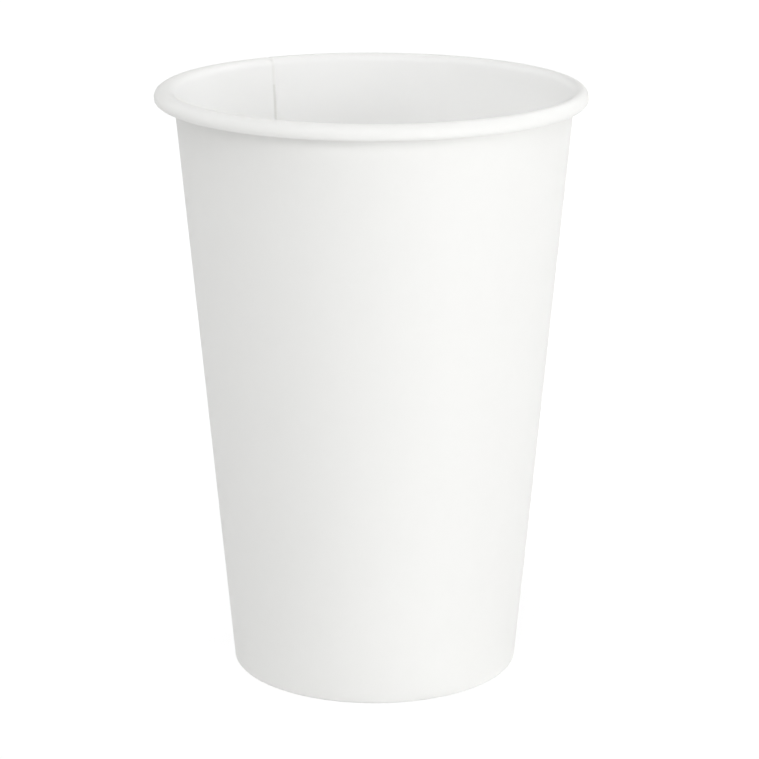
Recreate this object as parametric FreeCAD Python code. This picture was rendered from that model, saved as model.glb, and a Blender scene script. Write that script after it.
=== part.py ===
import FreeCAD, Part
import math
import os

# Plain single-wall paper cup for hot coffee, made from two pieces of coated board.
# The sidewall is one fan-shaped blank wrapped into a cone: its ends lap and are heat
# sealed, its top edge is rolled outwards into the drinking rim, and its bottom margin
# is folded inwards and up. The base is one disc with a turned-down skirt, which the
# folded margin grips. Both have a coated face, which is the one that meets the drink.
# Millimetres, +Z up. The origin is the centre of the foot, on the table.

# The cup
cup_height = 125.0
rim_diameter = 90.0  # across the rolled rim, the size that lids are sold by
foot_diameter = 61.0  # outside of the wall, carried down to the table

# The two boards, and the glue line between them
wall_board = 0.35
base_board = 0.30
seal_gap = 0.02

# The rolled rim, as its outside measures
roll_height = 3.2
roll_width = 3.85
roll_droop = 0.3  # how far its widest point lies below its middle
tuck_bend = 1.15  # radius of the last bend, which tucks the raw edge up beside the wall
tuck_gap = 0.05  # left between the tucked edge and the double wall at the lap

# The side seam, at the back left
seam_azimuth = 122.5  # of the inner layer's raw edge, counted from +X towards +Y
lap_width = 7.0
lap_squeeze = 0.85  # share of its thickness that the outer layer keeps when it is sealed
groove_width = 1.1  # at the rim, where the outer layer climbs onto the inner one
skive_start = 1.2  # height at which the outer layer begins to thicken
skive_length = 3.0  # height in which it reaches its thickness, so that the foot stays flat

# The folded foot and the base
fold_height = 6.0
skirt_clearance = 0.3  # from the fold up to the raw edge of the skirt
knee_radius = 0.9
knee_clearance = 0.3  # from the raw edge of the folded margin up to the knee

# The crimp that is rolled into the folded margin
crimp_pitch = 3.6
crimp_depth = 0.12
crimp_margin = 0.9  # plain board left above and below the crimp

# Each bend is drawn as a few short flats, which keeps the model light
lip_flat_count = 3
shoulder_flat_count = 3
belly_flat_count = 3
tuck_flat_count = 2
crease_flat_count = 1
knee_flat_count = 2

# Worked out from the sizes above
rim_radius = rim_diameter / 2
foot_radius = foot_diameter / 2
outer_layer = wall_board * lap_squeeze
lap_thickness = wall_board + outer_layer
shoulder_radius = roll_height / 2 + roll_droop
belly_radius = roll_height / 2 - roll_droop
lip_radius = roll_width - shoulder_radius
tuck_radius = min(tuck_bend, roll_width - lap_thickness - tuck_gap - belly_radius)
skirt_slot = base_board + 2 * seal_gap
climb_degrees = math.degrees(groove_width / rim_radius)
axis_foot = FreeCAD.Vector(0, 0, 0)
axis = FreeCAD.Vector(0, 0, 1)

# The wall leans out so that its outer face runs from the foot to the bend of the lip
lip_centre_r = rim_radius - shoulder_radius
lip_reach = math.hypot(lip_centre_r - foot_radius, cup_height - lip_radius)
lip_bearing = math.atan2(cup_height - lip_radius, lip_centre_r - foot_radius)
lean = math.acos((lip_radius - wall_board) / lip_reach) - lip_bearing
lean_degrees = math.degrees(lean)


def wall_radius(height, depth=0.0):
    """Radius of the wall at a height, at a depth below its outer face."""
    return foot_radius + height * math.tan(lean) - depth / math.cos(lean)


def run(length):
    """A straight stretch of board."""
    return [{"length": length, "turn": 0.0}]


def bend(radius, turn, flat_count):
    """A bend whose coated face has this radius; a positive turn, in degrees, goes left."""
    flat_turn = math.radians(turn) / flat_count
    chord = 2 * radius * math.sin(abs(flat_turn) / 2)
    return [{"length": chord, "turn": flat_turn}] * flat_count


def follow(point, heading_degrees, moves):
    """The stations along a board's coated face: a point and a heading before and after each move."""
    heading = math.radians(heading_degrees)
    stations = [(point, heading)]
    for move in moves:
        # A chord points along the mean of the headings at its ends
        bearing = heading + move["turn"] / 2
        forward = FreeCAD.Vector(math.cos(bearing), 0, math.sin(bearing))
        point = point + forward * move["length"]
        heading = heading + move["turn"]
        stations.append((point, heading))
    return stations


def layer_line(stations, depths):
    """The line that lies in the board at a depth below the coated face, given for each station."""
    line = []
    for (point, heading), depth in zip(stations, depths):
        down = FreeCAD.Vector(math.sin(heading), 0, -math.cos(heading))
        placed = point + down * depth
        if not line or line[-1].distanceToPoint(placed) > 1e-6:
            line.append(placed)
    return line


def layer_wire(stations, upper_depths, lower_depths):
    """The closed outline of a layer of board between two depths."""
    upper = layer_line(stations, upper_depths)
    lower = layer_line(stations, lower_depths)
    lower.reverse()
    if lower[-1].distanceToPoint(upper[0]) < 1e-6:
        lower.pop()
    return Part.makePolygon(upper + lower + upper[:1])


def turned(wire, degrees=360.0):
    """The solid that an outline sweeps out about the cup's axis, from the +X side."""
    return Part.Face(wire).revolve(axis_foot, axis, degrees)


def foot_stations():
    """The folded margin, from its raw edge down, round the foot and up to the wall."""
    flat = skirt_slot / math.cos(lean)
    margin_low_r = wall_radius(wall_board, wall_board) - flat
    margin_rise = fold_height - wall_board
    start = FreeCAD.Vector(margin_low_r + margin_rise * math.tan(lean), 0, fold_height)
    moves = (
        run(margin_rise / math.cos(lean))
        + bend(0.0, 90 + lean_degrees, crease_flat_count)
        + run(flat)
        + bend(0.0, 90 - lean_degrees, crease_flat_count)
    )
    return follow(start, -90 - lean_degrees, moves)


def wall_stations(start):
    """The cone of the wall in three stretches: the toe, the skived part of the lap, and the rest."""
    lip_height = cup_height - lip_radius * (1 - math.sin(lean))
    heights = [start.z, skive_start, skive_start + skive_length, lip_height]
    moves = []
    for low, high in zip(heights, heights[1:]):
        moves += run((high - low) / math.cos(lean))
    return follow(start, 90 - lean_degrees, moves)


def rim_stations(start):
    """The rim, rolled outwards and down from the lip, with its raw edge tucked up inside."""
    tuck_height = cup_height - roll_height + tuck_radius
    tuck_reach = (tuck_radius + outer_layer + tuck_gap) / math.cos(lean)
    underside = rim_radius - belly_radius - wall_radius(tuck_height) - tuck_reach
    moves = (
        bend(lip_radius, -(90 - lean_degrees), lip_flat_count)
        + bend(shoulder_radius, -90, shoulder_flat_count)
        + bend(belly_radius, -90, belly_flat_count)
        + run(underside)
        + bend(tuck_radius, -(90 + lean_degrees), tuck_flat_count)
    )
    return follow(start, 90 - lean_degrees, moves)


def outer_lap(lapped):
    """The outer layer of the lap, cut to the same width all the way up."""
    inside = [wall_board / 2] * len(lapped)  # it shares board with the inner layer, to which it is sealed
    outside = [wall_board] + [lap_thickness] * (len(lapped) - 1)
    reach = math.degrees(math.asin(lap_width / wall_radius(skive_start, wall_board)))
    strip = turned(layer_wire(lapped, inside, outside), reach)
    return strip.common(Part.makeBox(rim_diameter, lap_width, cup_height))


def crimp_star(height, ridge_count):
    """A zigzag ring at the inner face of the folded margin, with two corners for each ridge."""
    face_r = wall_radius(height, 2 * wall_board + skirt_slot)
    corners = []
    for index in range(2 * ridge_count):
        angle = math.pi * index / ridge_count
        radius = face_r + crimp_depth if index % 2 else face_r
        corners.append(FreeCAD.Vector(radius * math.cos(angle), radius * math.sin(angle), height))
    return Part.makePolygon(corners + corners[:1])


def crimp_tool():
    """What the crimping roll presses out of the inner face of the folded margin."""
    low = wall_board + crimp_margin
    high = fold_height - crimp_margin
    ridge_count = round(2 * math.pi * wall_radius(low) / crimp_pitch)
    return Part.makeLoft([crimp_star(low, ridge_count), crimp_star(high, ridge_count)], True, True)


def make_sidewall():
    """The wrapped, lapped, rolled and folded blank of the wall."""
    foot = foot_stations()
    cone = wall_stations(foot[-1][0])
    rim = rim_stations(cone[-1][0])
    stations = foot + cone[1:] + rim[1:]
    lapped = cone[1:] + rim[1:]

    # The fold and the toe stay one board thick, so only what is above them climbs at the lap
    pressed = len(stations) - len(lapped) + 1
    climbed_coated_face = [0.0] * pressed + [wall_board] * (len(stations) - pressed)
    climbed_plain_face = [wall_board] * pressed + [lap_thickness] * (len(stations) - pressed)

    unlapped = foot + rim
    single = layer_wire(unlapped, [0.0] * len(unlapped), [wall_board] * len(unlapped))
    wall = turned(single, 360 - climb_degrees)

    # Beside the inner layer's raw edge the board climbs onto it, which leaves a groove
    plain = layer_wire(stations, [0.0] * len(stations), [wall_board] * len(stations))
    plain.rotate(axis_foot, axis, -climb_degrees)
    climbed = layer_wire(stations, climbed_coated_face, climbed_plain_face)
    ramp = Part.makeLoft([plain, climbed], True, True)

    wall = wall.fuse([ramp, outer_lap(lapped)]).removeSplitter()
    wall = wall.cut(crimp_tool())
    wall.rotate(axis_foot, axis, seam_azimuth)
    return wall


def make_base():
    """The disc of the base, with its skirt turned down inside the wall."""
    knee_height = fold_height + knee_clearance
    top = knee_height + knee_radius
    flat = wall_radius(knee_height, wall_board + seal_gap + knee_radius)
    skirt_top = knee_height - knee_radius * math.sin(lean)
    skirt_low = wall_board + skirt_clearance
    moves = (
        run(flat)
        + bend(knee_radius, -(90 + lean_degrees), knee_flat_count)
        + run((skirt_top - skirt_low) / math.cos(lean))
    )
    stations = follow(FreeCAD.Vector(0, 0, top), 0.0, moves)
    return turned(layer_wire(stations, [0.0] * len(stations), [base_board] * len(stations)))


def save(name, shape):
    """One solid, written as its own STEP file."""
    solid = shape.Solids[0]
    print(name, "solids", len(shape.Solids), "valid", solid.isValid(), "volume", round(solid.Volume, 1))
    solid.exportStep(os.path.join("parts", name + ".step"))


os.makedirs("parts", exist_ok=True)
save("sidewall", make_sidewall())
save("base_disc", make_base())
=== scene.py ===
"""The looks of a plain white paper coffee cup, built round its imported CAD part."""

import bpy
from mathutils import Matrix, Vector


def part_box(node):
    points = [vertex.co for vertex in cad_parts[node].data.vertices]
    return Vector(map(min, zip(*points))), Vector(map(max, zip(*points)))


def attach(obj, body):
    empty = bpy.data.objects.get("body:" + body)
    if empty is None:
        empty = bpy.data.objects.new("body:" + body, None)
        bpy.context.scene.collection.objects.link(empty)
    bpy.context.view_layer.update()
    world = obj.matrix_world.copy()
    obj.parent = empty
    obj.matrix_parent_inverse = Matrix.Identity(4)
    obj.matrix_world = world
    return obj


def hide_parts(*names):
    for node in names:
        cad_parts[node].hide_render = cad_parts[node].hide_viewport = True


bl_info = {
    "name": "Paper coffee cup",
    "version": (1, 0, 0),
    "blender": (4, 5, 0),
    "location": "3D View > Sidebar > Paper cup",
    "description": "Wraps, rolls and folds the cup's two boards round the CAD part, and lights them",
    "category": "Add Mesh",
}

import math

import bmesh
import bpy
import numpy as np
from mathutils import Matrix

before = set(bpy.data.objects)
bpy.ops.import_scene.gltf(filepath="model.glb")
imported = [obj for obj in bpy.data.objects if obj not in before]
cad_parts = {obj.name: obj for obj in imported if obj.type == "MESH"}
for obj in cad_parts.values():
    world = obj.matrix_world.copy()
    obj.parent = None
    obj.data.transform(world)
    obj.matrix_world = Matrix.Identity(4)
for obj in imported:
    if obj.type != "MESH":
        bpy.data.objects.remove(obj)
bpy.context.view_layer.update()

MM = 0.001
TURN = 2 * math.pi

# The cup's height and rim are the CAD part's own
wall_low, wall_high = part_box("sidewall")
cup_height = wall_high.z
rim_diameter = wall_high.x - wall_low.x

# How finely the wall is drawn: rows along its section, from the folded margin to the tucked edge,
# and columns round the cup, on to the raw edge and over the lap
MARGIN_ROWS = 12
CREASE_ROWS = 5
SKIVE_ROWS = 4
CONE_ROWS = 30
LIP_ROWS = 9
SHOULDER_ROWS = 9
BELLY_ROWS = 8
TUCK_ROWS = 8
RING_COLUMNS = 424
RAMP_COLUMNS = 10
GROOVE_SHADE_COLUMNS = 7  # those of the ramp, next to the raw edge, whose coated face is painted in the plain face's darker colour, as shade in the groove
LAP_COLUMNS = 12

# How finely the base is drawn, from its middle out and down its skirt, and round it
DISC_ROWS = 24
KNEE_ROWS = 8
SKIRT_ROWS = 4
BASE_COLUMNS = 192

SHARP_ANGLE = math.radians(50)  # edges that turn further than this are cut ones
SAME_POINT = 1e-7  # metres between points that are one

# Details of the lap, the crimp and the roll that no one would change
GROOVE_SLOPE = 0.72  # share of the groove's width over which the board drops
GROOVE_POCKET = 0.08 * MM  # gap under the inner layer's raw edge, which the seal does not reach
RIM_POCKET = 0.005 * MM  # what is left of that gap where the rolling tool has pressed it shut
RIM_PRESS = 5.0 * MM  # height of the pressed part
PRESS_FADE = 0.3 * RIM_PRESS  # height below it in which the gap opens
SEAL_OVERLAP = 0.01 * MM  # how far the sealed layers are pressed into each other
SKIVED_EDGE = 0.04 * MM  # what is left of the outer layer's thickness at its bottom edge
CRIMP_END = 0.5 * MM  # height in which the crimp's teeth run out, above and below
ROLL_ROOT = 2.0 * MM  # how far below the top of the rim the roll starts to stand out

# Ripples round the rim: how many, where they start, and how strong they are
RIPPLES = ((31, 0.4, 1.0), (47, 2.1, 0.8), (83, 4.0, 0.6))


def linear(hex_colour):
    """An sRGB hex colour as the linear numbers that a shader takes."""
    channels = [int(hex_colour[i:i + 2], 16) / 255 for i in (1, 3, 5)]
    return tuple(c / 12.92 if c <= 0.04045 else ((c + 0.055) / 1.055) ** 2.4 for c in channels)


def length(name, description, millimetres):
    """A length that the user can change, in metres, with its default given in millimetres."""
    return bpy.props.FloatProperty(
        name=name, description=description, default=millimetres * MM,
        unit="LENGTH", subtype="DISTANCE", precision=5)


def turn(name, description, degrees):
    """An angle that the user can change, with its default given in degrees."""
    return bpy.props.FloatProperty(
        name=name, description=description, default=math.radians(degrees),
        unit="ROTATION", subtype="ANGLE")


def share(name, description, default):
    """A share from 0 to 1 that the user can change."""
    return bpy.props.FloatProperty(
        name=name, description=description, default=default, min=0.0, max=1.0, subtype="FACTOR")


def colour(name, description, hex_colour):
    """A colour that the user can change, with its default given as sRGB hex."""
    return bpy.props.FloatVectorProperty(
        name=name, description=description, default=linear(hex_colour),
        size=3, min=0.0, max=1.0, subtype="COLOR")


class CupWallSizes(bpy.types.PropertyGroup):
    """Sizes of the wrapped, lapped, rolled and folded blank."""

    board: length("Board", "Thickness of the sidewall's board", 0.35)
    foot_diameter: length("Foot", "Outside of the wall, carried down to the table", 61.0)
    roll_height: length("Roll height", "Outside height of the rolled rim", 3.2)
    roll_width: length("Roll width", "Outside width of the rolled rim", 3.85)
    roll_droop: length("Roll droop", "How far the roll's widest point lies below its middle", 0.3)
    tuck_bend: length("Tuck bend", "Radius of the bend that tucks the roll's raw edge up", 1.15)
    tuck_gap: length("Tuck gap", "Gap between the tucked edge and the wall at the lap", 0.05)
    rim_drift: length("Rim drift", "How much further out the roll stands at the left", 0.574)
    rim_tilt: turn("Rim tilt", "How much the rim slopes down to the right", 0.172)
    seam_azimuth: turn("Seam azimuth", "Where the inner layer's raw edge is, from +X to +Y", 123.1)
    lap_width: length("Lap width", "Width of the side seam's lap", 7.0)
    lap_squeeze: share("Lap squeeze", "Share of its thickness that the sealed outer layer keeps", 0.85)
    groove_width: length("Groove width", "Beside the inner layer's raw edge, at the rim", 1.1)
    skive_start: length("Skive start", "Height at which the lap's outer layer begins", 1.2)
    skive_length: length("Skive length", "Height in which the outer layer reaches its thickness", 3.0)
    fold_height: length("Fold height", "Height of the folded margin's raw edge", 6.0)
    crease: length("Crease", "Inside radius of the creases at the foot", 0.1)
    crimp_pitch: length("Crimp pitch", "Distance from one crimped ridge to the next", 3.6)
    crimp_depth: length("Crimp depth", "Depth that the crimping roll presses into the margin", 0.12)
    crimp_margin: length("Crimp margin", "Plain board left above and below the crimp", 0.9)
    unevenness: length("Unevenness", "How far the wrapped wall strays from a true cone", 0.05)
    ripple: length("Ripple", "Depth of the faint ripples in the rolled rim", 0.008)


class CupBaseSizes(bpy.types.PropertyGroup):
    """Sizes of the base disc and its turned-down skirt."""

    board: length("Board", "Thickness of the base's board", 0.30)
    seal_gap: length("Seal gap", "Glue line on each side of the skirt", 0.02)
    skirt_clearance: length("Skirt clearance", "From the fold up to the skirt's raw edge", 0.3)
    knee_radius: length("Knee", "Outside radius of the bend from the disc into the skirt", 0.9)
    knee_clearance: length("Knee clearance", "From the margin's raw edge up to the knee", 0.3)
    bow: length("Bow", "How far the disc's middle sags between its edges", 0.2)


class CupBoardLook(bpy.types.PropertyGroup):
    """Colours and gloss of the coated board."""

    face_colour: colour("Plain face", "Bleached clay-coated face, outside the cup", "#F4F4F2")
    # The coated face is whiter in part as painted light inside the cup, and the rolled rim's colour
    # below is the same film painted darker, as shade on the roll
    film_colour: colour("Coated face", "The same board under its clear film, inside the cup", "#FDFDFC")
    roll_shade_colour: colour("Rolled rim", "The coated face where it is rolled outwards", "#F7F7F5")
    # The raw edge's colour is the dull pulp's own, made a little darker as painted shade for the dark
    # line beside the lap's raw edge
    edge_colour: colour("Raw edge", "Cut edge, where the bare pulp shows", "#EEECE6")
    face_roughness: share("Plain face roughness", "Roughness of the clay coating", 0.62)
    film_roughness: share("Film roughness", "Roughness of the film that is pressed onto the board", 0.6)


class CupStageLook(bpy.types.PropertyGroup):
    """The floor and the lights."""

    floor_colour: colour("Floor", "White paper sweep", "#F6F6F6")
    world_light: bpy.props.FloatProperty(
        name="World light", description="Strength of the even light from all round",
        default=0.0, min=0.0)


# Boards, as lines of stations along the coated face

def run(distance, steps=1):
    """A straight stretch of board."""
    return [(distance / steps, 0.0)] * steps


def bend(radius, angle, steps):
    """A bend whose coated face has this radius; a positive angle turns left."""
    step = angle / steps
    return [(2 * radius * math.sin(abs(step) / 2), step)] * steps


def follow(radius, height, heading, moves):
    """Radius, height and heading at each station along a board's coated face."""
    stations = [(radius, height, heading)]
    for distance, angle in moves:
        bearing = heading + angle / 2
        radius += distance * math.cos(bearing)
        height += distance * math.sin(bearing)
        heading += angle
        stations.append((radius, height, heading))
    return np.array(stations).T


def eased(values):
    """A smooth rise from 0 to 1."""
    t = np.clip(values, 0.0, 1.0)
    return t * t * (3 - 2 * t)


class WallLine:
    """The section of the sidewall: a line from the folded margin's raw edge to the roll's raw edge."""

    def __init__(self, sizes, base):
        self.sizes = sizes
        self.foot_radius = sizes.foot_diameter / 2
        self.rim_radius = rim_diameter / 2
        self.shoulder = sizes.roll_height / 2 + sizes.roll_droop
        self.belly = sizes.roll_height / 2 - sizes.roll_droop
        self.lip = sizes.roll_width - self.shoulder
        self.outer_layer = sizes.board * sizes.lap_squeeze
        self.slot = base.board + 2 * base.seal_gap
        # The wall leans as far as it must to run straight up from the foot into the lip
        centre = self.rim_radius - self.shoulder - self.foot_radius
        rise = cup_height - self.lip
        bearing = math.atan2(rise, centre)
        self.lean = math.acos((self.lip - sizes.board) / math.hypot(centre, rise)) - bearing

    def radius(self, height, depth=0.0):
        """Radius of the wall at a height, at a depth below its outer face."""
        return self.foot_radius + height * math.tan(self.lean) - depth / math.cos(self.lean)

    def stations(self):
        """Radius, height and heading of every row, and the rows at which the toe and the skive end."""
        s = self.sizes
        quarter = math.pi / 2
        flat = self.slot / math.cos(self.lean)
        margin_rise = s.fold_height - s.board
        inner_cut = s.crease * math.tan((quarter + self.lean) / 2)
        outer_cut = s.crease * math.tan((quarter - self.lean) / 2)
        toe = s.skive_start - s.board
        lip_height = cup_height - self.lip * (1 - math.sin(self.lean))
        cone = lip_height - s.skive_start - s.skive_length
        along = 1 / math.cos(self.lean)

        start = self.radius(s.board, s.board) - flat + margin_rise * math.tan(self.lean)
        moves = run(margin_rise * along - inner_cut, MARGIN_ROWS)
        moves += bend(s.crease, quarter + self.lean, CREASE_ROWS)
        moves += run(flat - inner_cut - outer_cut)
        moves += bend(s.crease, quarter - self.lean, CREASE_ROWS)
        moves += run(toe * along - outer_cut)
        toe_row = len(moves)
        moves += run(s.skive_length * along, SKIVE_ROWS)
        skive_row = len(moves)
        moves += run(cone * along, CONE_ROWS)
        moves += bend(self.lip, self.lean - quarter, LIP_ROWS)
        moves += bend(self.shoulder, -quarter, SHOULDER_ROWS)
        moves += bend(self.belly, -quarter, BELLY_ROWS)
        moves += run(self.underside())
        moves += bend(self.tuck(), -(quarter + self.lean), TUCK_ROWS)
        line = follow(start, s.fold_height, -quarter - self.lean, moves)
        return line, toe_row, skive_row

    def tuck(self):
        """Radius of the roll's last bend."""
        room = self.sizes.roll_width - self.sizes.board - self.outer_layer - self.sizes.tuck_gap
        return min(self.sizes.tuck_bend, room - self.belly)

    def underside(self):
        """Length of the short flat under the roll."""
        tuck_height = cup_height - self.sizes.roll_height + self.tuck()
        tuck_reach = (self.tuck() + self.outer_layer + self.sizes.tuck_gap) / math.cos(self.lean)
        return self.rim_radius - self.belly - self.radius(tuck_height) - tuck_reach


# Sheets of board, as meshes

PLAIN_FACE, COATED_FACE, RAW_EDGE = range(3)


def sheet_faces(kept, groove_shade, joined_rows):
    """Quads over both faces of a sheet and along its cut edges, with a surface number each.

    kept says, for each cell of rows by columns, whether the board is there, and the next mask whether
    its coated face is painted in the plain face's darker colour, as shade. The coated face's points are
    numbered first, row by row, and then the plain face's.
    In the joined rows the last column meets the first one, so neither has a cut edge."""
    rows, columns = kept.shape[0] + 1, kept.shape[1] + 1
    coated = np.arange(rows * columns).reshape(rows, columns)
    plain = coated + rows * columns
    faces, surfaces = [], []

    def add(corners, surface):
        faces.append(np.stack(corners, -1))
        surfaces.append(np.full(len(faces[-1]), surface))

    i, j = np.nonzero(kept)
    add((coated[i, j], coated[i + 1, j], coated[i + 1, j + 1], coated[i, j + 1]), COATED_FACE)
    # Painted shade: these cells' coated face takes the plain face's darker colour
    surfaces[-1][groove_shade[i, j]] = PLAIN_FACE
    add((plain[i, j], plain[i, j + 1], plain[i + 1, j + 1], plain[i + 1, j]), PLAIN_FACE)

    # Cells whose neighbour before or after them, up the sheet or round it, is missing
    beside = np.pad(kept, 1)
    i, j = np.nonzero(kept & ~beside[:-2, 1:-1])
    add((coated[i, j], coated[i, j + 1], plain[i, j + 1], plain[i, j]), RAW_EDGE)
    i, j = np.nonzero(kept & ~beside[2:, 1:-1])
    add((coated[i + 1, j], plain[i + 1, j], plain[i + 1, j + 1], coated[i + 1, j + 1]), RAW_EDGE)
    open_ends = kept.copy()
    open_ends[:joined_rows] = False
    i, j = np.nonzero(open_ends & ~beside[1:-1, :-2])
    add((coated[i, j], plain[i, j], plain[i + 1, j], coated[i + 1, j]), RAW_EDGE)
    i, j = np.nonzero(open_ends & ~beside[1:-1, 2:])
    add((coated[i, j + 1], coated[i + 1, j + 1], plain[i + 1, j + 1], plain[i, j + 1]), RAW_EDGE)
    return np.concatenate(faces), np.concatenate(surfaces)


def board_object(name, layers, kept, groove_shade, joined_rows, body, replaced):
    """A sheet of board as an object, smooth but for its cut edges, in place of its CAD node."""
    faces, surfaces = sheet_faces(kept, groove_shade, joined_rows)
    used, faces = np.unique(faces, return_inverse=True)
    points = np.concatenate([layer.reshape(-1, 3) for layer in layers])[used]
    mesh = bpy.data.meshes.new(name)
    mesh.from_pydata(points.tolist(), [], faces.reshape(-1, 4).tolist())
    mesh.polygons.foreach_set("material_index", surfaces.astype(np.int32))
    mesh.polygons.foreach_set("use_smooth", np.ones(len(surfaces), bool))
    for material in board_materials():
        mesh.materials.append(material)

    # Where the sheet meets itself, its two points become one
    form = bmesh.new()
    form.from_mesh(mesh)
    bmesh.ops.remove_doubles(form, verts=form.verts, dist=SAME_POINT)
    form.to_mesh(mesh)
    form.free()
    mesh.set_sharp_from_angle(angle=SHARP_ANGLE)

    piece = bpy.data.objects.new(name, mesh)
    bpy.context.scene.collection.objects.link(piece)
    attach(piece, body)
    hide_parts(replaced)


def turned(radius, height, azimuth):
    """Points at these radii, heights and azimuths about the cup's axis."""
    x, y, z = np.broadcast_arrays(radius * np.cos(azimuth), radius * np.sin(azimuth), height)
    return np.stack([x, y, z], -1)


# Materials

FIBRE_CLUMP = 3.5 * MM  # clumps of fibres in sheet pulp are 2 to 5 mm across
FIBRE = 0.3 * MM  # a fibre is 0.03 mm wide, too fine to show, so it is drawn ten times as wide
CLUMP_RELIEF = 2.0  # height of the clumps, where the fibres' is 1
GLOSS_SPREAD = 0.05  # how far the roughness varies, up and down

# The sockets of a Mix node set to colours, whose names stand for its other sockets too
MIX_FACTOR, MIX_A, MIX_B, MIX_RESULT = 0, 6, 7, 2


def node(tree, kind, settings=None, links=None):
    """Adds a node, with its settings and values, and links from other nodes' outputs."""
    added = tree.nodes.new(kind)
    for key, value in (settings or {}).items():
        if key in added.inputs:
            added.inputs[key].default_value = value
        else:
            setattr(added, key, value)
    for key, source in (links or {}).items():
        tree.links.new(source, added.inputs[key])
    return added


def roll_painted_shade(tree, place, base, rolled):
    """The film's colour, painted darker over the roll as shade."""
    axes = node(tree, "ShaderNodeSeparateXYZ", links={"Vector": place})
    level = node(tree, "ShaderNodeCombineXYZ",
                 links={"X": axes.outputs["X"], "Y": axes.outputs["Y"]})
    reach = node(tree, "ShaderNodeVectorMath", {"operation": "LENGTH"}, {"Vector": level.outputs[0]})
    roll_width = bpy.context.scene.cup_wall_sizes.roll_width
    # The painted shade fades in over the innermost third of the roll
    roll_start = rim_diameter / 2 - roll_width
    shade_share = node(tree, "ShaderNodeMapRange",
                {"From Min": roll_start, "From Max": roll_start + roll_width / 3},
                {"Value": reach.outputs["Value"]})
    film = node(tree, "ShaderNodeMix", {"data_type": "RGBA"}, {MIX_FACTOR: shade_share.outputs[0]})
    film.inputs[MIX_A].default_value = (*base, 1.0)
    film.inputs[MIX_B].default_value = (*rolled, 1.0)
    return film.outputs[MIX_RESULT]


def board_material(name, base, roughness, mottle, fibre_depth, rolled=None):
    """Bleached board. Its pulp is a felt of fibres, so its tone is faintly clouded and its face
    faintly uneven; the mottle and the fibres' depth set how much of that is seen."""
    material = bpy.data.materials.get(name) or bpy.data.materials.new(name)
    material.use_nodes = True
    tree = material.node_tree
    tree.nodes.clear()
    place = node(tree, "ShaderNodeTexCoord").outputs["Object"]
    clouds = node(tree, "ShaderNodeTexNoise",
                  {"Scale": 1 / FIBRE_CLUMP, "Detail": 3.0, "Roughness": 0.55}, {"Vector": place})
    fibres = node(tree, "ShaderNodeTexNoise",
                  {"Scale": 1 / FIBRE, "Detail": 2.0, "Roughness": 0.6}, {"Vector": place})
    tone = node(tree, "ShaderNodeMix", {"data_type": "RGBA", "blend_type": "MULTIPLY"},
                {MIX_FACTOR: clouds.outputs["Fac"]})
    tone.inputs[MIX_A].default_value = (*base, 1.0)
    tone.inputs[MIX_B].default_value = (1 - mottle, 1 - mottle, 1 - mottle, 1.0)
    # The film is painted darker over the rolled rim, as shade
    if rolled:
        tree.links.new(roll_painted_shade(tree, place, base, rolled), tone.inputs[MIX_A])
    height = node(tree, "ShaderNodeMath", {"operation": "MULTIPLY_ADD"},
                  {0: clouds.outputs["Fac"], 2: fibres.outputs["Fac"]})
    height.inputs[1].default_value = CLUMP_RELIEF
    relief = node(tree, "ShaderNodeBump", {"Strength": 1.0, "Distance": fibre_depth},
                  {"Height": height.outputs[0]})
    gloss = node(tree, "ShaderNodeMapRange",
                 {"To Min": roughness - GLOSS_SPREAD, "To Max": roughness + GLOSS_SPREAD},
                 {"Value": clouds.outputs["Fac"]})
    shader = node(tree, "ShaderNodeBsdfPrincipled", {"IOR": 1.5}, {
        "Base Color": tone.outputs[MIX_RESULT], "Roughness": gloss.outputs[0],
        "Normal": relief.outputs[0]})
    node(tree, "ShaderNodeOutputMaterial", links={"Surface": shader.outputs[0]})
    return material


def board_materials():
    """The three surfaces of coated board: plain face, coated face and raw edge."""
    look = bpy.context.scene.cup_board_look
    return [
        # Bleached board with a calendered clay coating: white, matte and slightly clouded
        board_material("clay_coated_board", look.face_colour, look.face_roughness,
                       mottle=0.016, fibre_depth=0.01 * MM),
        # The same board under a thin film of polyethylene, cast on with a matte chill roll: whiter, in
        # part as painted light inside the cup, and a little smoother, with no gloss to speak of; over
        # the rolled rim it is painted darker again, as shade
        board_material("film_coated_board", look.film_colour, look.film_roughness,
                       mottle=0.01, fibre_depth=0.006 * MM, rolled=look.roll_shade_colour),
        # Die-cut through the pulp: fibres with no coating, so dull and a little warmer, and darkened a
        # little further as painted shade for the dark line beside the lap's raw edge
        board_material("cut_board_edge", look.edge_colour, roughness=0.85,
                       mottle=0.05, fibre_depth=0.02 * MM),
    ]


# The sidewall

def wall_columns(climb):
    """For each column, its azimuth from the seam, and how far it lies across the lap."""
    ring = np.linspace(0.0, TURN - climb, RING_COLUMNS + 1)
    ramp = TURN - climb + climb * np.linspace(0, 1, RAMP_COLUMNS + 1)[1:]
    across = np.linspace(0, 1, LAP_COLUMNS + 1)[1:]
    azimuth = np.concatenate([ring, ramp, np.full(LAP_COLUMNS, TURN)])
    return azimuth, np.concatenate([np.zeros(len(azimuth) - LAP_COLUMNS), across])


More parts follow.
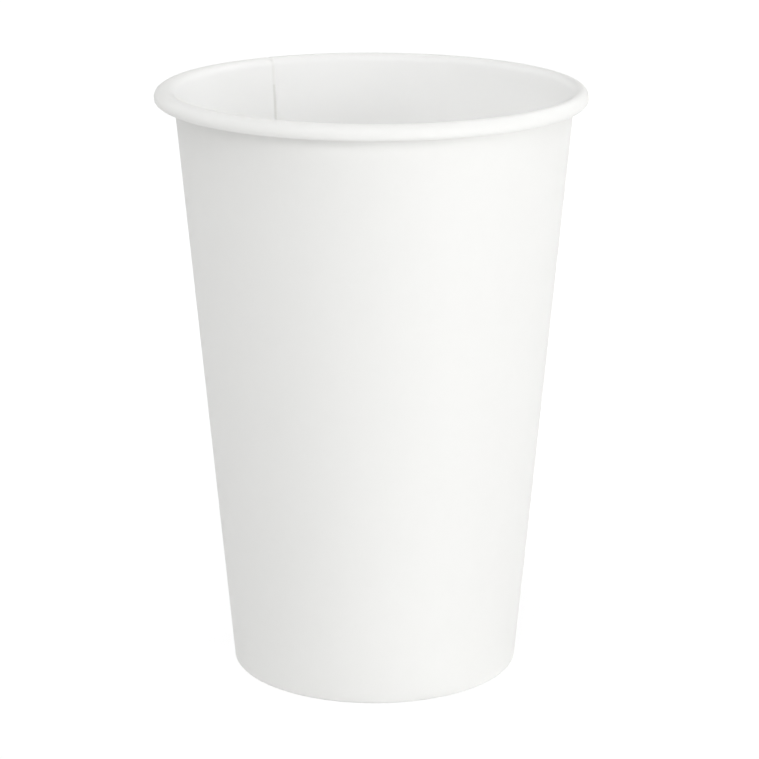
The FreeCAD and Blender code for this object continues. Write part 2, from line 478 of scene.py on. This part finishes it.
def lap_depths(line, height, azimuth, across, skived):
    """Depths of the coated and the plain face below the inner layer's coated face.

    Past the seam the board drops beside the inner layer's raw edge, which leaves a groove, and
    goes on over the inner layer as the outer one, pressed thinner where the two are sealed."""
    sizes = line.sizes
    climb = sizes.groove_width / line.rim_radius
    climbed = eased((azimuth - (TURN - climb)) / (GROOVE_SLOPE * climb)) * skived
    lapped = across > 0
    unpressed = eased((cup_height - RIM_PRESS - height) / PRESS_FADE)
    pocket = RIM_POCKET + (GROOVE_POCKET - RIM_POCKET) * unpressed
    coated = np.where(lapped, sizes.board - SEAL_OVERLAP, (sizes.board + pocket) * climbed)
    thinned = sizes.board + (line.outer_layer - sizes.board) * climbed
    thin_edge = np.maximum(line.outer_layer * skived, SKIVED_EDGE)
    pressed = np.where(lapped, sizes.board - SEAL_OVERLAP, sizes.board * climbed)
    return coated, pressed + np.where(lapped, thin_edge, thinned)


def crimped(line, row, height, azimuth):
    """How much thinner the crimping roll leaves the folded margin, in ridges, from inside."""
    sizes = line.sizes
    low, high = sizes.board + sizes.crimp_margin, sizes.fold_height - sizes.crimp_margin
    ridges = round(TURN * line.radius(low) / sizes.crimp_pitch)
    window = eased((height - low) / CRIMP_END) * eased((high - height) / CRIMP_END)
    window = np.where(row <= MARGIN_ROWS, window, 0.0)
    teeth = (0.5 - 0.5 * np.cos(ridges * azimuth)) ** 2
    return sizes.crimp_depth * window * teeth


def stray(azimuth, height, amount):
    """How far a wrapped board strays outwards from a true cone.

    It is a little oval at the foot, which gives way to three lobes at the rim and to five in
    between. Each has a start of its own, so that they do not line up."""
    up = np.clip(height / cup_height, 0, 1)
    oval = 0.45 * np.cos(2 * azimuth + 0.6) * (1 - up)
    three = 0.35 * np.cos(3 * azimuth - 1.1) * up
    five = 0.25 * np.sin(5 * azimuth + 2.3) * np.sin(math.pi * up)
    return amount * (oval + three + five)


def rippled(line, azimuth, height, radius, amount):
    """Faint ripples that rolling leaves in the rim, deepest at its outside."""
    out = np.clip((radius - line.rim_radius + line.sizes.roll_width) / line.sizes.roll_width, 0, 1)
    on_roll = eased((height - cup_height + 2 * line.sizes.roll_height) / line.sizes.roll_height)
    waves = sum(strength * np.sin(count * azimuth + start) for count, start, strength in RIPPLES)
    calm = 0.6 + 0.4 * np.sin(4 * azimuth + 1.0)
    return amount * waves * calm * eased(out) * on_roll


def wall_layers(line):
    """The points of the sidewall's coated and plain faces, which cells it has, which of them are
    painted with shade in the plain face's darker colour, and the row from which the lap has its outer
    layer."""
    sizes = line.sizes
    stations, toe_row, skive_row = line.stations()
    radius, height, heading = (values[:, None] for values in stations)
    row = np.arange(len(radius))[:, None]
    azimuth, across = wall_columns(sizes.groove_width / line.rim_radius)

    # The fold and the toe stay one board thick, so only what is above them climbs at the lap
    skived = np.where(row >= toe_row, eased((height - sizes.skive_start) / sizes.skive_length), 0.0)
    skived = np.where(row >= skive_row, 1.0, skived)
    coated, plain = lap_depths(line, height, azimuth, across, skived)
    plain = plain - crimped(line, row, height, azimuth)
    around = sizes.seam_azimuth + azimuth + np.arcsin(np.clip(across * sizes.lap_width / radius, 0, 1))

    layers = []
    for depth in (coated, plain):
        out = radius + np.sin(heading) * depth
        up = height - np.cos(heading) * depth
        out = out + stray(around, up, sizes.unevenness)
        out = out + rippled(line, around, up, out, sizes.ripple)
        # The roll was pressed a little to one side of the wall, and a little down at the other
        inside = line.radius(cup_height - ROLL_ROOT, sizes.board)
        pressed = np.clip((out - inside) / (line.rim_radius - inside), 0, 1)
        pressed = np.where(up > cup_height - 2 * sizes.roll_height, pressed, 0.0)
        out = out - sizes.rim_drift * np.cos(around) * pressed
        up = up - math.tan(sizes.rim_tilt) * out * np.cos(around) * eased(up / cup_height)
        layers.append(turned(out, up, around))

    kept = np.ones((len(radius) - 1, len(azimuth) - 1), bool)
    raw_edge = RING_COLUMNS + RAMP_COLUMNS
    kept[:toe_row, raw_edge:] = False

    # Painted shade in the lap's groove: its bottom takes the plain face's darker colour, but not where
    # the rim is rolled
    groove_shade = np.zeros_like(kept)
    groove_shade[toe_row:, raw_edge - GROOVE_SHADE_COLUMNS:raw_edge + 1] = True
    groove_shade &= height[1:] < cup_height - RIM_PRESS
    return layers, kept, groove_shade, toe_row


class CUP_OT_sidewall(bpy.types.Operator):
    """Wrap the fan-shaped blank into the cup's wall, with its lap, rolled rim and folded foot"""

    bl_idname = "cup.sidewall"
    bl_label = "Sidewall"
    bl_options = {"REGISTER", "UNDO"}

    def execute(self, context):
        scene = context.scene
        line = WallLine(scene.cup_wall_sizes, scene.cup_base_sizes)
        layers, kept, groove_shade, toe_row = wall_layers(line)
        board_object("cup_wall", layers, kept, groove_shade, toe_row, "root", "sidewall")
        return {"FINISHED"}


# The base

def base_layers(line, base):
    """The points of the base's coated and plain faces, from its middle out and down its skirt."""
    quarter = math.pi / 2
    knee_height = line.sizes.fold_height + base.knee_clearance
    flat = line.radius(knee_height, line.sizes.board + base.seal_gap + base.knee_radius)
    skirt_top = knee_height - base.knee_radius * math.sin(line.lean)
    skirt_low = line.sizes.board + base.skirt_clearance
    moves = run(flat, DISC_ROWS)
    moves += bend(base.knee_radius, -(quarter + line.lean), KNEE_ROWS)
    moves += run((skirt_top - skirt_low) / math.cos(line.lean), SKIRT_ROWS)
    stations = follow(0.0, knee_height + base.knee_radius, 0.0, moves)
    radius, height, heading = (values[:, None] for values in stations)
    azimuth = np.linspace(0, TURN, BASE_COLUMNS + 1)
    sag = base.bow * eased(1 - radius / flat)
    return [
        turned(radius + np.sin(heading) * depth, height - np.cos(heading) * depth - sag, azimuth)
        for depth in (0.0, base.board)
    ]


class CUP_OT_base(bpy.types.Operator):
    """Set the disc and its skirt into the foot of the wall"""

    bl_idname = "cup.base"
    bl_label = "Base"
    bl_options = {"REGISTER", "UNDO"}

    def execute(self, context):
        scene = context.scene
        line = WallLine(scene.cup_wall_sizes, scene.cup_base_sizes)
        layers = base_layers(line, scene.cup_base_sizes)
        rows, columns = layers[0].shape[0] - 1, layers[0].shape[1] - 1
        kept = np.ones((rows, columns), bool)
        board_object("cup_base", layers, kept, ~kept, rows, "root", "base_disc")
        return {"FINISHED"}


# The stage

# The photograph's viewpoint, which was fitted to the cup's outline: metres, and radians
CAMERA_PLACE = (0.0, -0.55771, 0.22121)
CAMERA_PITCH = 0.27852  # downwards
CAMERA_YAW = -0.00193
CAMERA_ROLL = -0.0006
LENS = 128.90  # millimetres, on a sensor 36 mm wide


def add_camera():
    """The photograph's viewpoint: a long lens, a little above the rim."""
    data = bpy.data.cameras.new("camera")
    data.sensor_width = 36.0
    data.lens = LENS
    data.clip_start = 0.01
    data.clip_end = 20.0
    camera = bpy.data.objects.new("camera", data)
    camera.matrix_world = (
        Matrix.Translation(CAMERA_PLACE)
        @ Matrix.Rotation(CAMERA_YAW, 4, "Z")
        @ Matrix.Rotation(math.pi / 2 - CAMERA_PITCH, 4, "X")
        @ Matrix.Rotation(CAMERA_ROLL, 4, "Z"))
    bpy.context.scene.collection.objects.link(camera)
    bpy.context.scene.camera = camera


# Softboxes round the cup: name, azimuth and elevation in degrees, and power in watts
SOFTBOXES = (
    ("right_low", -30, 5, 4.05),
    ("front_right_low", -60, 20, 1.73),
    ("front_left_low", 225, 20, 1.57),
    ("front_high", -90, 35, 2.74),
    ("right_high", 0, 35, 1.51),
    ("back_right_high", 45, 35, 3.91),
    ("back_left_high", 135, 35, 2.38),
    ("left_high", 180, 35, 1.72),
    ("front_top", -90, 65, 1.55),
    ("left_top", 180, 65, 1.84),
)
SOFTBOX_SIZE = 0.5  # metres, as are the next two
SOFTBOX_DISTANCE = 1.1
SOFTBOX_AIM = (0.0, 0.0, 0.07)


def add_softbox(name, azimuth, elevation, power):
    """A soft white panel that faces the cup."""
    data = bpy.data.lights.new(name, "AREA")
    data.shape = "SQUARE"
    data.size = SOFTBOX_SIZE
    data.energy = power
    lamp = bpy.data.objects.new(name, data)
    lamp.matrix_world = (
        Matrix.Translation(SOFTBOX_AIM)
        @ Matrix.Rotation(math.radians(azimuth + 90), 4, "Z")
        @ Matrix.Rotation(math.radians(90 - elevation), 4, "X")
        @ Matrix.Translation((0, 0, SOFTBOX_DISTANCE)))
    bpy.context.scene.collection.objects.link(lamp)


FLOOR_REACH = 1.6  # metres from the cup's axis to each edge of the floor
SHADOW_REACH = 0.35  # metres from the cup's axis to where the floor is plain white
SHADOW_SHARE = 0.1  # share of the light on the floor that is seen, and so of the cup's shadow
GLOW_BY_CUP = 0.92  # what the floor adds to that beside the cup, where 1 is white


def white_ground():
    """A floor that shows as white, and keeps a faint shadow of the cup near its foot."""
    material = bpy.data.materials.new("white_paper_sweep")
    material.use_nodes = True
    tree = material.node_tree
    tree.nodes.clear()
    look = bpy.context.scene.cup_stage_look
    paper = node(tree, "ShaderNodeBsdfDiffuse", {"Color": (*look.floor_colour, 1.0)})
    faint = node(tree, "ShaderNodeBsdfDiffuse",
                 {"Color": (SHADOW_SHARE, SHADOW_SHARE, SHADOW_SHARE, 1.0)})
    place = node(tree, "ShaderNodeTexCoord").outputs["Object"]
    away = node(tree, "ShaderNodeVectorMath", {"operation": "LENGTH"}, {"Vector": place})
    white = node(tree, "ShaderNodeMapRange",
                 {"From Min": rim_diameter / 2, "From Max": SHADOW_REACH,
                  "To Min": GLOW_BY_CUP, "To Max": 1.0},
                 {"Value": away.outputs["Value"]})
    glow = node(tree, "ShaderNodeEmission", {"Color": (1, 1, 1, 1)}, {"Strength": white.outputs[0]})
    seen = node(tree, "ShaderNodeAddShader", links={0: faint.outputs[0], 1: glow.outputs[0]})
    rays = node(tree, "ShaderNodeLightPath")
    mix = node(tree, "ShaderNodeMixShader", links={
        "Fac": rays.outputs["Is Camera Ray"], 1: paper.outputs[0], 2: seen.outputs[0]})
    node(tree, "ShaderNodeOutputMaterial", links={"Surface": mix.outputs[0]})
    return material


def add_floor():
    """The ground that the cup stands on."""
    far = FLOOR_REACH
    mesh = bpy.data.meshes.new("floor")
    corners = [(-far, -far, 0), (far, -far, 0), (far, far, 0), (-far, far, 0)]
    mesh.from_pydata(corners, [], [(0, 1, 2, 3)])
    mesh.materials.append(white_ground())
    floor = bpy.data.objects.new("floor", mesh)
    bpy.context.scene.collection.objects.link(floor)


def add_world(strength):
    """Even light from all round, seen by the camera as plain white."""
    world = bpy.data.worlds.new("studio")
    world.use_nodes = True
    tree = world.node_tree
    tree.nodes.clear()
    rays = node(tree, "ShaderNodeLightPath")
    light = node(tree, "ShaderNodeBackground", {"Color": (1, 1, 1, 1), "Strength": strength})
    white = node(tree, "ShaderNodeBackground", {"Color": (1, 1, 1, 1), "Strength": 1.0})
    mix = node(tree, "ShaderNodeMixShader", links={
        "Fac": rays.outputs["Is Camera Ray"], 1: light.outputs[0], 2: white.outputs[0]})
    node(tree, "ShaderNodeOutputWorld", links={"Surface": mix.outputs[0]})
    bpy.context.scene.world = world


class CUP_OT_stage(bpy.types.Operator):
    """Set up the white floor, the soft studio light and the camera"""

    bl_idname = "cup.stage"
    bl_label = "Stage"
    bl_options = {"REGISTER", "UNDO"}

    def execute(self, context):
        add_camera()
        add_floor()
        add_world(context.scene.cup_stage_look.world_light)
        for name, azimuth, elevation, power in SOFTBOXES:
            add_softbox(name, azimuth, elevation, power)
        context.scene.view_settings.view_transform = "Standard"
        return {"FINISHED"}


# What the panel lists: label, settings, and the operator that uses them
PANEL_ROWS = (
    ("Board", "cup_board_look", None),
    ("Sidewall", "cup_wall_sizes", "cup.sidewall"),
    ("Base", "cup_base_sizes", "cup.base"),
    ("Stage", "cup_stage_look", "cup.stage"),
)


class CUP_PT_panel(bpy.types.Panel):
    """The cup's pieces, each with its sizes, and the stage"""

    bl_idname = "CUP_PT_panel"
    bl_label = "Paper cup"
    bl_space_type = "VIEW_3D"
    bl_region_type = "UI"
    bl_category = "Paper cup"

    def draw(self, context):
        layout = self.layout
        for label, group, operator in PANEL_ROWS:
            layout.label(text=label)
            column = layout.column()
            settings = getattr(context.scene, group)
            for name in settings.__annotations__:
                column.prop(settings, name)
            if operator:
                layout.operator(operator)


GROUPS = {
    "cup_wall_sizes": CupWallSizes,
    "cup_base_sizes": CupBaseSizes,
    "cup_board_look": CupBoardLook,
    "cup_stage_look": CupStageLook,
}

CLASSES = tuple(GROUPS.values()) + (CUP_OT_sidewall, CUP_OT_base, CUP_OT_stage, CUP_PT_panel)


def register():
    """Adds the classes, and the settings to the scene."""
    for cls in CLASSES:
        bpy.utils.register_class(cls)
    for name, group in GROUPS.items():
        setattr(bpy.types.Scene, name, bpy.props.PointerProperty(type=group))


def unregister():
    """Takes the settings and the classes away again."""
    for name in GROUPS:
        delattr(bpy.types.Scene, name)
    for cls in reversed(CLASSES):
        bpy.utils.unregister_class(cls)


def main():
    """Builds the cup and its stage."""
    register()
    bpy.ops.cup.sidewall()
    bpy.ops.cup.base()
    bpy.ops.cup.stage()


if __name__ == "__main__":
    main()
